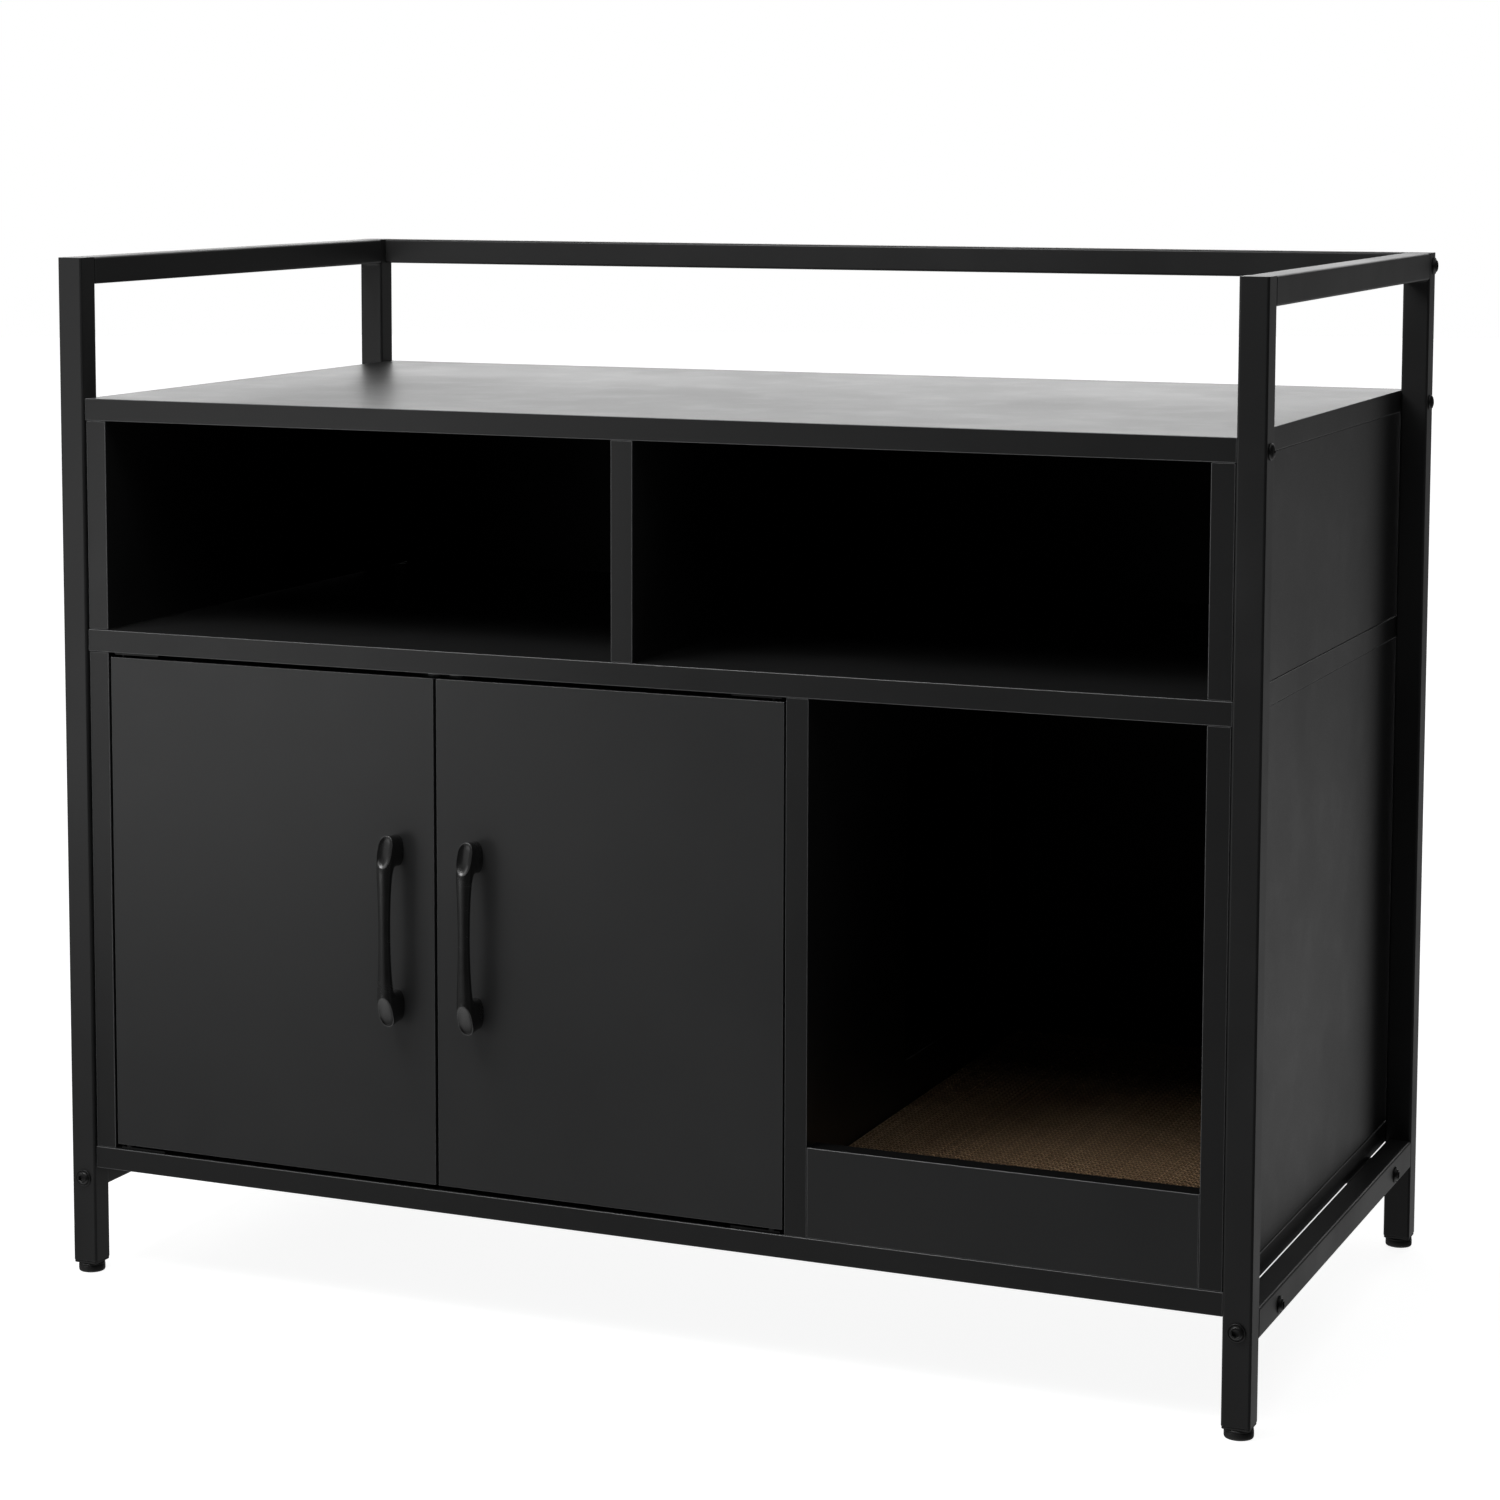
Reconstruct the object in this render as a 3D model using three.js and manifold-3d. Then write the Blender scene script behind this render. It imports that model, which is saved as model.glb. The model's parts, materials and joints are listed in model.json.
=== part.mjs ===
// Litter cabinet on a square-tube frame: two bolted end frames carry a black
// board carcass with an open shelf tier above, a two-door compartment below on
// the left and a walk-in bay with a corrugated scratch pad below on the right.
// Units are millimetres, +Z up. The front faces -Y. In the code, X runs from 0
// at the left outer face to WIDTH, Y from 0 at the posts' front faces to DEPTH,
// and Z from 0 at the ground. The whole group is then shifted so that its
// origin is the bottom centre of its bounding box.
import * as THREE from "three";
import { mergeVertices } from "three/addons/utils/BufferGeometryUtils.js";
import Module from "manifold-3d";

const wasm = await Module();
wasm.setup();

// ---------------------------------------------------------------- dimensions
const WIDTH = 1000; // over the posts' outer faces
const DEPTH = 540; // over the posts' front and rear faces
const HEIGHT = 844; // ground to the top of the frame
const FOOT_H = 10; // ground to the cut end of a post
const TUBE = 22; // square tube of the posts and top rails
const WALL = 1.2; // tube wall
const TUBE_R = 2; // outer corner radius of the tube
const GAP = 0.3; // gap between neighbouring pieces
const BOARD = 18; // laminated board thickness

const BOARD_X0 = 22.3; // board ends, just clear of the posts' inner faces
const BOARD_X1 = WIDTH - BOARD_X0;
const BOARD_Y0 = 2.5; // board front edges, set back from the posts' faces
const BOARD_Y1 = DEPTH - BOARD_Y0;
const PANEL_Y0 = 3.0; // upright front edges
const INNER_Y1 = 529.4; // dividers end in front of the back panels
const BACK_T = 5;

const TOP_Z = 730; // top face of the top board
const SHELF_Z = 541; // top face of the middle shelf
const BOTTOM_Z = 108.6; // top face of the bottom board

const SIDE_IN = 0.7; // side panels stand in from the board ends
const LEFT_PANEL_X1 = BOARD_X0 + SIDE_IN + 17.8;
const RIGHT_PANEL_X0 = WIDTH - LEFT_PANEL_X1;
const UPPER_DIV_X0 = 491;
const LOWER_DIV_X0 = 635.6;
const LOWER_DIV_X1 = LOWER_DIV_X0 + BOARD;

const DOORWAY = { y0: 221, y1: 431, z0: 196, z1: 441, r: 4 };
const KICK_TOP = 179;

const DOOR_Y0 = 3.0;
const DOOR_Y1 = DOOR_Y0 + BOARD;
const DOOR_Z0 = 112.8;
const DOOR_Z1 = 519;
const LEFT_DOOR = { x0: 43.2, x1: 338.0 };
const RIGHT_DOOR = { x0: 340.6, x1: 633.9 };
const PIVOT_IN = 9.5; // door edge to pivot axis
const PIVOT_Y = DOOR_Y0 + 5.5; // door face to pivot axis
const LEFT_PIVOT_X = LEFT_DOOR.x0 + PIVOT_IN;
const RIGHT_PIVOT_X = RIGHT_DOOR.x1 - PIVOT_IN;
const PIN_R = 2;
const BUSH_R = 3.5;

const HANDLE_Z = 317.7; // middle of both handles
const LEFT_HANDLE_X = 304.6;
const RIGHT_HANDLE_X = 374.6;
const HANDLE_W = 12.6;
const HANDLE_OUT = 25; // handle front to door face

const SIDE_RAIL = { w: 20, z0: 71, z1: 94 };
const CROSS = { size: 20, z1: 90.3, y: 80 };
const REAR_RAIL_DEPTH = 13;
const POST_BOLT_Z = 81;
const CROSS_BOLT_Z = CROSS.z1 - CROSS.size / 2;
const BOARD_SCREW_Z = TOP_Z - BOARD / 2 - 1;

const PAD = { x0: 655.1, x1: 958.0, y0: 22.5, y1: 507.5, z0: 108.9, z1: 160 };

// ------------------------------------------------------------------ materials
const COATED = { color: 0x1b1c1d, roughness: 0.45, metalness: 0.3 };
const LAMINATE = { color: 0x1d1e20, roughness: 0.5, metalness: 0 };
const HARDBOARD = { color: 0x131416, roughness: 0.7, metalness: 0 };
const BOLT_STEEL = { color: 0x161718, roughness: 0.35, metalness: 0.7 };
const PULL = { color: 0x202224, roughness: 0.35, metalness: 0.6 };
const PLASTIC = { color: 0x151515, roughness: 0.6, metalness: 0 };
const CARDBOARD = { color: 0xa98a68, roughness: 0.95, metalness: 0 };
const PLATED = { color: 0x1c1d1e, roughness: 0.4, metalness: 0.6 };

// -------------------------------------------------------------------- helpers
const root = new THREE.Group();

function solid(geometry) {
  const g = geometry.clone();
  g.deleteAttribute("normal");
  g.deleteAttribute("uv");
  const m = mergeVertices(g, 1e-4);
  return new wasm.Manifold(
    new wasm.Mesh({
      numProp: 3,
      vertProperties: new Float32Array(m.attributes.position.array),
      triVerts: new Uint32Array(m.index.array),
    }),
  );
}

function geometryOf(manifold) {
  const m = manifold.getMesh();
  const g = new THREE.BufferGeometry();
  const n = m.numProp;
  const v = new Float32Array((m.vertProperties.length / n) * 3);
  for (let i = 0; i < v.length / 3; i++)
    for (let k = 0; k < 3; k++) v[3 * i + k] = m.vertProperties[n * i + k];
  g.setAttribute("position", new THREE.BufferAttribute(v, 3));
  g.setIndex(new THREE.BufferAttribute(new Uint32Array(m.triVerts), 1));
  const flat = g.toNonIndexed();
  flat.computeVertexNormals();
  return flat;
}

function put(name, geometry, look) {
  const mesh = new THREE.Mesh(
    geometry.isBufferGeometry ? geometry : geometryOf(geometry),
    new THREE.MeshStandardMaterial(look),
  );
  mesh.name = name;
  root.add(mesh);
  return mesh;
}

// A box from its lowest to its highest corner.
function block(x0, x1, y0, y1, z0, z1) {
  return new THREE.BoxGeometry(x1 - x0, y1 - y0, z1 - z0).translate(
    (x0 + x1) / 2,
    (y0 + y1) / 2,
    (z0 + z1) / 2,
  );
}

// A rounded rectangle centred on the origin.
function roundRect(w, h, r) {
  const s = new THREE.Shape();
  const a = w / 2,
    b = h / 2;
  s.moveTo(-a + r, -b);
  s.lineTo(a - r, -b);
  s.absarc(a - r, -b + r, r, -Math.PI / 2, 0, false);
  s.lineTo(a, b - r);
  s.absarc(a - r, b - r, r, 0, Math.PI / 2, false);
  s.lineTo(-a + r, b);
  s.absarc(-a + r, b - r, r, Math.PI / 2, Math.PI, false);
  s.lineTo(-a, -b + r);
  s.absarc(-a + r, -b + r, r, Math.PI, 1.5 * Math.PI, false);
  return s;
}

// A bar of rounded section: along "x", "y" or "z", over its own lowest and
// highest corners.
function bar(axis, x0, x1, y0, y1, z0, z1, r) {
  const cx = (x0 + x1) / 2,
    cy = (y0 + y1) / 2,
    cz = (z0 + z1) / 2;
  const dx = x1 - x0,
    dy = y1 - y0,
    dz = z1 - z0;
  const [w, h, d] =
    axis === "z" ? [dx, dy, dz] : axis === "y" ? [dx, dz, dy] : [dy, dz, dx];
  const g = new THREE.ExtrudeGeometry(roundRect(w, h, r), {
    depth: d,
    bevelEnabled: false,
    curveSegments: 3,
  }).translate(0, 0, -d / 2);
  if (axis === "y") g.rotateX(Math.PI / 2); // section x,z
  if (axis === "x") {
    g.rotateX(Math.PI / 2);
    g.rotateZ(Math.PI / 2);
  }
  return g.translate(cx, cy, cz);
}

// A round rod along an axis, between two values on it.
function rod(axis, a, b, cx, cy, cz, r, segments = 12) {
  const g = new THREE.CylinderGeometry(r, r, Math.abs(b - a), segments);
  const mid = (a + b) / 2;
  if (axis === "z") return g.rotateX(Math.PI / 2).translate(cx, cy, mid);
  if (axis === "x") return g.rotateZ(Math.PI / 2).translate(mid, cy, cz);
  return g.translate(cx, mid, cz);
}

function cut(base, ...tools) {
  let m = solid(base);
  for (const t of tools) m = m.subtract(solid(t));
  return m;
}

// -------------------------------------------------------------------- the posts
// Each is a tube with a ground-flush welded cap at the top, open at the foot.
const BOLT_HOLE = 3.6; // clearance hole radius for a 6 mm shank
const postAt = {
  front_left: [0, 0],
  front_right: [WIDTH - TUBE, 0],
  rear_left: [0, DEPTH - TUBE],
  rear_right: [WIDTH - TUBE, DEPTH - TUBE],
};
for (const [where, [x, y]] of Object.entries(postAt)) {
  const outer = bar("z", x, x + TUBE, y, y + TUBE, FOOT_H, HEIGHT, TUBE_R);
  const bore = bar(
    "z",
    x + WALL,
    x + TUBE - WALL,
    y + WALL,
    y + TUBE - WALL,
    FOOT_H - 1,
    HEIGHT - 1.5,
    TUBE_R - WALL,
  );
  const cx = x + TUBE / 2,
    cy = y + TUBE / 2;
  const tools = [
    bore,
    rod("y", y - 1, y + TUBE + 1, cx, 0, POST_BOLT_Z, BOLT_HOLE, 8),
    rod("x", x - 1, x + TUBE + 1, 0, cy, BOARD_SCREW_Z, BOLT_HOLE, 8),
  ];
  if (where.startsWith("rear"))
    tools.push(
      rod(
        "x",
        x - 1,
        x + TUBE + 1,
        0,
        DEPTH - REAR_RAIL_DEPTH / 2 - 0.5,
        HEIGHT - TUBE / 2,
        BOLT_HOLE,
        8,
      ),
    );
  put(where + "_post", cut(outer, ...tools), COATED);
}

// A closed-ended tube: its end plates are tapped for the bolts.
function tappedTube(axis, x0, x1, y0, y1, z0, z1, ty, tz, extra = []) {
  const i = [x0, x1, y0, y1, z0, z1];
  const k = { x: 0, y: 2, z: 4 }[axis];
  const inner = i.map((v, n) => {
    const inward = n === k || n === k + 1 ? 4 : WALL;
    return v + (n % 2 ? -inward : inward);
  });
  const outer = bar(axis, ...i, TUBE_R);
  const bore = bar(axis, ...inner, TUBE_R - WALL);
  const tap =
    axis === "y"
      ? rod("y", y0 - 1, y1 + 1, ty, 0, tz, BOLT_HOLE, 8)
      : rod("x", x0 - 1, x1 + 1, 0, ty, tz, BOLT_HOLE, 8);
  return cut(outer, bore, tap, ...extra);
}

// --------------------------------------------------------------- the top rails
for (const [side, x] of [
  ["left", 0],
  ["right", WIDTH - TUBE],
]) {
  const y0 = TUBE + GAP,
    y1 = DEPTH - TUBE - GAP;
  const outer = bar("y", x, x + TUBE, y0, y1, HEIGHT - TUBE, HEIGHT, TUBE_R);
  const bore = bar(
    "y",
    x + WALL,
    x + TUBE - WALL,
    y0 - 1,
    y1 + 1,
    HEIGHT - TUBE + WALL,
    HEIGHT - WALL,
    TUBE_R - WALL,
  );
  put(side + "_top_rail", cut(outer, bore), COATED);
}
const REAR_Y = DEPTH - REAR_RAIL_DEPTH / 2 - 0.5;
put(
  "rear_top_rail",
  tappedTube(
    "x",
    TUBE + GAP,
    WIDTH - TUBE - GAP,
    REAR_Y - REAR_RAIL_DEPTH / 2,
    REAR_Y + REAR_RAIL_DEPTH / 2,
    HEIGHT - TUBE,
    HEIGHT,
    REAR_Y,
    HEIGHT - TUBE / 2,
  ),
  COATED,
);

// ------------------------------------------------- the side rails and cross bars
const CROSS_Y = [CROSS.y, DEPTH - CROSS.y];
for (const [side, x0] of [
  ["left", 0],
  ["right", WIDTH - SIDE_RAIL.w],
]) {
  const through = CROSS_Y.map((y) =>
    rod(
      "x",
      x0 - 1,
      x0 + SIDE_RAIL.w + 1,
      0,
      y,
      CROSS_BOLT_Z,
      BOLT_HOLE,
      8,
    ),
  );
  put(
    side + "_side_rail",
    tappedTube(
      "y",
      x0,
      x0 + SIDE_RAIL.w,
      TUBE + GAP,
      DEPTH - TUBE - GAP,
      SIDE_RAIL.z0,
      SIDE_RAIL.z1,
      side === "left" ? TUBE / 2 : WIDTH - TUBE / 2,
      POST_BOLT_Z,
      through,
    ),
    COATED,
  );
}
for (const [where, y] of [
  ["front", CROSS_Y[0]],
  ["rear", CROSS_Y[1]],
])
  put(
    where + "_cross_bar",
    tappedTube(
      "x",
      SIDE_RAIL.w + GAP,
      WIDTH - SIDE_RAIL.w - GAP,
      y - CROSS.size / 2,
      y + CROSS.size / 2,
      CROSS.z1 - CROSS.size,
      CROSS.z1,
      y,
      CROSS_BOLT_Z,
    ),
    COATED,
  );

// ------------------------------------------------------------------ the boards
put(
  "top_board",
  cut(
    block(BOARD_X0, BOARD_X1, BOARD_Y0, BOARD_Y1, TOP_Z - BOARD, TOP_Z),
    ...[TUBE / 2, DEPTH - TUBE / 2].flatMap((y) => [
      rod("x", BOARD_X0 - 1, BOARD_X0 + 26, 0, y, BOARD_SCREW_Z, 3.4, 8),
      rod("x", BOARD_X1 - 26, BOARD_X1 + 1, 0, y, BOARD_SCREW_Z, 3.4, 8),
    ]),
  ),
  LAMINATE,
);
put(
  "middle_shelf",
  block(BOARD_X0, BOARD_X1, BOARD_Y0, BOARD_Y1, SHELF_Z - BOARD, SHELF_Z),
  LAMINATE,
);
put(
  "bottom_board",
  block(BOARD_X0, BOARD_X1, BOARD_Y0, BOARD_Y1, BOTTOM_Z - BOARD, BOTTOM_Z),
  LAMINATE,
);

const UP_Z0 = SHELF_Z + GAP,
  UP_Z1 = TOP_Z - BOARD - GAP,
  LOW_Z0 = BOTTOM_Z + GAP,
  LOW_Z1 = SHELF_Z - BOARD - GAP;
const SIDE_X0 = BOARD_X0 + SIDE_IN;
for (const [tier, z0, z1] of [
  ["upper", UP_Z0, UP_Z1],
  ["lower", LOW_Z0, LOW_Z1],
]) {
  put(
    tier + "_left_side_panel",
    block(SIDE_X0, LEFT_PANEL_X1, PANEL_Y0, BOARD_Y1, z0, z1),
    LAMINATE,
  );
  put(
    tier + "_right_side_panel",
    block(RIGHT_PANEL_X0, WIDTH - SIDE_X0, PANEL_Y0, BOARD_Y1, z0, z1),
    LAMINATE,
  );
  put(
    tier + "_back_panel",
    block(
      LEFT_PANEL_X1 + GAP,
      RIGHT_PANEL_X0 - GAP,
      INNER_Y1 + GAP,
      INNER_Y1 + GAP + BACK_T,
      z0,
      z1,
    ),
    HARDBOARD,
  );
}
put(
  "upper_divider",
  block(UPPER_DIV_X0, UPPER_DIV_X0 + BOARD, PANEL_Y0, INNER_Y1, UP_Z0, UP_Z1),
  LAMINATE,
);

// The lower divider is drawn in its own Y-Z plane with the walk-through hole.
{
  const s = new THREE.Shape();
  s.moveTo(PANEL_Y0, LOW_Z0);
  s.lineTo(INNER_Y1, LOW_Z0);
  s.lineTo(INNER_Y1, LOW_Z1);
  s.lineTo(PANEL_Y0, LOW_Z1);
  s.closePath();
  const { y0, y1, z0, z1, r } = DOORWAY;
  const h = new THREE.Path();
  h.moveTo(y0 + r, z0);
  h.lineTo(y1 - r, z0);
  h.absarc(y1 - r, z0 + r, r, -Math.PI / 2, 0, false);
  h.lineTo(y1, z1 - r);
  h.absarc(y1 - r, z1 - r, r, 0, Math.PI / 2, false);
  h.lineTo(y0 + r, z1);
  h.absarc(y0 + r, z1 - r, r, Math.PI / 2, Math.PI, false);
  h.lineTo(y0, z0 + r);
  h.absarc(y0 + r, z0 + r, r, Math.PI, 1.5 * Math.PI, false);
  s.holes.push(h);
  const g = new THREE.ExtrudeGeometry(s, {
    depth: BOARD,
    bevelEnabled: false,
    curveSegments: 5,
  });
  // shape x -> world y, shape y -> world z, extrusion -> world x
  g.applyMatrix4(
    new THREE.Matrix4().makeBasis(
      new THREE.Vector3(0, 1, 0),
      new THREE.Vector3(0, 0, 1),
      new THREE.Vector3(1, 0, 0),
    ),
  ).translate(LOWER_DIV_X0, 0, 0);
  put("lower_divider", g, LAMINATE);
}
put(
  "kick_board",
  block(
    LOWER_DIV_X1 + GAP,
    RIGHT_PANEL_X0 - GAP,
    PANEL_Y0,
    PANEL_Y0 + BOARD,
    LOW_Z0,
    KICK_TOP,
  ),
  LAMINATE,
);

// --------------------------------------------- the doors and their edge pivots
// A pin leaf on the shelf and one on the bottom board; a bushed leaf let into
// each end of the door turns on them.
const LEAF_T = 1.6,
  LEAF_Y0 = 5,
  LEAF_Y1 = 17;
for (const [side, door, px, dir] of [
  ["left", LEFT_DOOR, LEFT_PIVOT_X, 1],
  ["right", RIGHT_DOOR, RIGHT_PIVOT_X, -1],
]) {
  const span = (a, b) => (dir > 0 ? [px + a, px + b] : [px - b, px - a]);
  const [lx0, lx1] = span(-7, 34);
  const [mx0, mx1] = span(-7 - GAP, 34 + GAP);
  put(
    side + "_door",
    cut(
      block(door.x0, door.x1, DOOR_Y0, DOOR_Y1, DOOR_Z0, DOOR_Z1),
      block(
        mx0,
        mx1,
        LEAF_Y0 - GAP,
        LEAF_Y1 + GAP,
        DOOR_Z1 - 2.1,
        DOOR_Z1 + 1,
      ),
      block(
        mx0,
        mx1,
        LEAF_Y0 - GAP,
        LEAF_Y1 + GAP,
        DOOR_Z0 - 1,
        DOOR_Z0 + 2.1,
      ),
      rod("z", DOOR_Z1 - 13, DOOR_Z1 + 1, px, PIVOT_Y, 0, BUSH_R + GAP),
      rod("z", DOOR_Z0 - 1, DOOR_Z0 + 13, px, PIVOT_Y, 0, BUSH_R + GAP),
    ),
    LAMINATE,
  );
  // Bushed leaves, let in flush with the door's ends.
  for (const [end, z0, z1, s0, s1] of [
    ["top", DOOR_Z1 - 0.1 - LEAF_T, DOOR_Z1 - 0.1, DOOR_Z1 - 12.4, DOOR_Z1 - 1],
    [
      "bottom",
      DOOR_Z0 + 0.1,
      DOOR_Z0 + 0.1 + LEAF_T,
      DOOR_Z0 + 1,
      DOOR_Z0 + 12.4,
    ],
  ]) {
    const leaf = solid(block(lx0, lx1, LEAF_Y0, LEAF_Y1, z0, z1))
      .add(solid(rod("z", s0, s1, px, PIVOT_Y, 0, BUSH_R)))
      .subtract(
        solid(
          rod(
            "z",
            Math.min(s0, z0) - 1,
            Math.max(s1, z1) + 1,
            px,
            PIVOT_Y,
            0,
            PIN_R + 0.4,
          ),
        ),
      );
    put(side + "_door_" + end + "_bush", leaf, PLATED);
  }
  // Pin leaves on the shelf's underside and on the bottom board.
  const topZ = SHELF_Z - BOARD - GAP;
  put(
    side + "_door_top_pivot",
    solid(block(lx0, lx1, LEAF_Y0, LEAF_Y1, topZ - LEAF_T, topZ)).add(
      solid(rod("z", topZ - 15, topZ - 0.5, px, PIVOT_Y, 0, PIN_R)),
    ),
    PLATED,
  );
  const lowZ = BOTTOM_Z + GAP;
  put(
    side + "_door_bottom_pivot",
    solid(block(lx0, lx1, LEAF_Y0, LEAF_Y1, lowZ, lowZ + LEAF_T))
      .add(solid(rod("z", lowZ + 0.5, DOOR_Z0 - 0.3, px, PIVOT_Y, 0, 4)))
      .add(solid(rod("z", lowZ + 0.5, lowZ + 15, px, PIVOT_Y, 0, PIN_R))),
    PLATED,
  );
}
put(
  "magnet_catch",
  bar("x", 317, 361, DOOR_Y1 + 0.5, DOOR_Y1 + 15, 509.5, 522.7, 2),
  PLASTIC,
);

// ----------------------------------------------------------------- the handles
// A bow pull drawn in its Y-Z side view: bar, slanted shoulders and two legs.
function handle(cx) {
  const f = DOOR_Y0 - GAP, // foot faces, against the door
    o = DOOR_Y0 - HANDLE_OUT; // front of the bar
  const side = [
    [f, 74],
    [f - 3, 75.5],
    [f - 9, 76.5],
    [f - 15.3, 76.3],
    [o + 0.6, 52.2],
    [o, 47],
  ];
  const under = [
    [o + 8.2, 38],
    [o + 9.5, 44],
    [o + 13.5, 48.6],
    [f - 5, 50],
    [f, 50.3],
  ];
  const outline = [
    ...side,
    [o, 0],
    ...side.map(([y, z]) => [y, -z]).reverse(),
    ...under.map(([y, z]) => [y, -z]).reverse(),
    [o + 7.6, 0],
    ...under,
  ];
  const s = new THREE.Shape(outline.map(([y, z]) => new THREE.Vector2(y, z)));
  const g = new THREE.ExtrudeGeometry(s, {
    depth: HANDLE_W,
    bevelEnabled: false,
  });
  g.applyMatrix4(
    new THREE.Matrix4().makeBasis(
      new THREE.Vector3(0, 1, 0),
      new THREE.Vector3(0, 0, 1),
      new THREE.Vector3(1, 0, 0),
    ),
  ).translate(cx - HANDLE_W / 2, 0, HANDLE_Z);
  return g;
}
put("left_handle", handle(LEFT_HANDLE_X), PULL);
put("right_handle", handle(RIGHT_HANDLE_X), PULL);

// ----------------------------------------------------------- the scratch pad
put(
  "scratch_pad",
  block(PAD.x0, PAD.x1, PAD.y0, PAD.y1, PAD.z0, PAD.z1),
  CARDBOARD,
);

// ------------------------------------------- levelling feet and tube inserts
function lathe(points, segments = 18) {
  return new THREE.LatheGeometry(
    points.map(([r, z]) => new THREE.Vector2(r, z)),
    segments,
  ).rotateX(Math.PI / 2); // profile height becomes +Z
}
for (const [where, [x, y]] of Object.entries(postAt)) {
  const cx = x + TUBE / 2,
    cy = y + TUBE / 2;
  put(
    where + "_foot",
    lathe([
      [0, 0],
      [10, 0],
      [11, 1],
      [11, 5],
      [9.5, 7.6],
      [3.8, 7.6],
      [3.8, 38],
      [0, 38],
    ]).translate(cx, cy, 0),
    PLASTIC,
  );
  const plug = solid(
    bar("z", cx - 9.4, cx + 9.4, cy - 9.4, cy + 9.4, 9.2, 32, 0.6),
  )
    .add(solid(bar("z", x + 0.4, x + 21.6, y + 0.4, y + 21.6, 8.0, 9.7, 1.6)))
    .subtract(solid(rod("z", 5, 40, cx, cy, 0, 4.2)));
  put(where + "_foot_insert", plug, PLASTIC);
}

// -------------------------------------------------------- bolts and screws
// A domed head with a hexagon socket on a plain 6 mm shank. The head's seat is
// at the local origin and the shank runs along local -Z.
function bolt(headR, headH, length) {
  const pts = [[0, -length], [3, -length], [3, 0], [headR, 0]];
  const n = 3;
  for (let i = 0; i <= n; i++) {
    const a = (i / n) * (Math.PI / 2) * 0.94;
    pts.push([headR * Math.cos(a), 0.5 + (headH - 0.5) * Math.sin(a)]);
  }
  pts.push([0, headH]);
  const g = lathe(pts, 12);
  const hex = new THREE.CylinderGeometry(2.4, 2.4, 3, 6)
    .rotateX(Math.PI / 2)
    .translate(0, 0, headH);
  return solid(g).subtract(solid(hex));
}
function aim(manifold, x, y, z, towards) {
  const g = geometryOf(manifold);
  if (towards === "-y") g.rotateX(Math.PI / 2);
  if (towards === "+y") g.rotateX(-Math.PI / 2);
  if (towards === "+x") g.rotateY(Math.PI / 2);
  if (towards === "-x") g.rotateY(-Math.PI / 2);
  return g.translate(x, y, z);
}
const frameBolt = bolt(7, 3.6, 34);
const crossBolt = bolt(6.6, 3.4, 34);
const boardScrew = bolt(6.2, 3.2, 40);
const L = -GAP / 2,
  R = WIDTH + GAP / 2;
for (const [side, cx] of [
  ["left", TUBE / 2],
  ["right", WIDTH - TUBE / 2],
]) {
  const face = side === "left" ? L : R,
    out = side === "left" ? "-x" : "+x";
  put(
    "front_" + side + "_rail_bolt",
    aim(frameBolt, cx, -GAP / 2, POST_BOLT_Z, "-y"),
    BOLT_STEEL,
  );
  put(
    "rear_" + side + "_rail_bolt",
    aim(frameBolt, cx, DEPTH + GAP / 2, POST_BOLT_Z, "+y"),
    BOLT_STEEL,
  );
  for (const [where, y] of [
    ["front", CROSS_Y[0]],
    ["rear", CROSS_Y[1]],
  ])
    put(
      where + "_" + side + "_cross_bolt",
      aim(crossBolt, face, y, CROSS_BOLT_Z, out),
      BOLT_STEEL,
    );
  for (const [where, y] of [
    ["front", TUBE / 2],
    ["rear", DEPTH - TUBE / 2],
  ])
    put(
      where + "_" + side + "_board_screw",
      aim(boardScrew, face, y, BOARD_SCREW_Z, out),
      BOLT_STEEL,
    );
  put(
    "rear_" + side + "_top_rail_bolt",
    aim(frameBolt, face, REAR_Y, HEIGHT - TUBE / 2, out),
    BOLT_STEEL,
  );
}

// ------------------------------------------------------- the part's own origin
const box = new THREE.Box3().setFromObject(root);
for (const mesh of root.children)
  mesh.position.set(
    -(box.min.x + box.max.x) / 2,
    -(box.min.y + box.max.y) / 2,
    -box.min.z,
  );

export default root;
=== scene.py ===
import json
import math
import random

import bmesh
import bpy
from mathutils import Matrix, Vector


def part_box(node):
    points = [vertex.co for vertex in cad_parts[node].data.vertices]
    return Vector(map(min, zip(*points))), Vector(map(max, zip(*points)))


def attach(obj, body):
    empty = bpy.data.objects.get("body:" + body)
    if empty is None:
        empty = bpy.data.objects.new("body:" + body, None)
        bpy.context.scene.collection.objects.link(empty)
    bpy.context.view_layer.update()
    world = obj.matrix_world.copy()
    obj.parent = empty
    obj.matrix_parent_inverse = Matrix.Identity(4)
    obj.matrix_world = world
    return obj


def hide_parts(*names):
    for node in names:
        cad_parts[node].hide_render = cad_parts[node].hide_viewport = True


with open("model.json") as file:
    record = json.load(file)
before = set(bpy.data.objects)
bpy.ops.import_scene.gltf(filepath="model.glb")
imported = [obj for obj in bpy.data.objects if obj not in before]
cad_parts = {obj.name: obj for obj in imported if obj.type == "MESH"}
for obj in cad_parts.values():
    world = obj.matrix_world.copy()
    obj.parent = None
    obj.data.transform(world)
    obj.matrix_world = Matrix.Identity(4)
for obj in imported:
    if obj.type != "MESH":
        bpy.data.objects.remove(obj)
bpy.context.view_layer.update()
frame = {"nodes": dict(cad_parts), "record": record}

scene = bpy.context.scene
nodes = frame["nodes"]

# The gauge is in millimetres, from the outer front corner of the left post.
_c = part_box("front_left_post")[0]
OX, OY = -_c.x * 1000.0, -_c.y * 1000.0


def P(x, y, z):
    """Gauge millimetres to metres in the part's frame."""
    return Vector(((x - OX) / 1000.0, (y - OY) / 1000.0, z / 1000.0))


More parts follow.
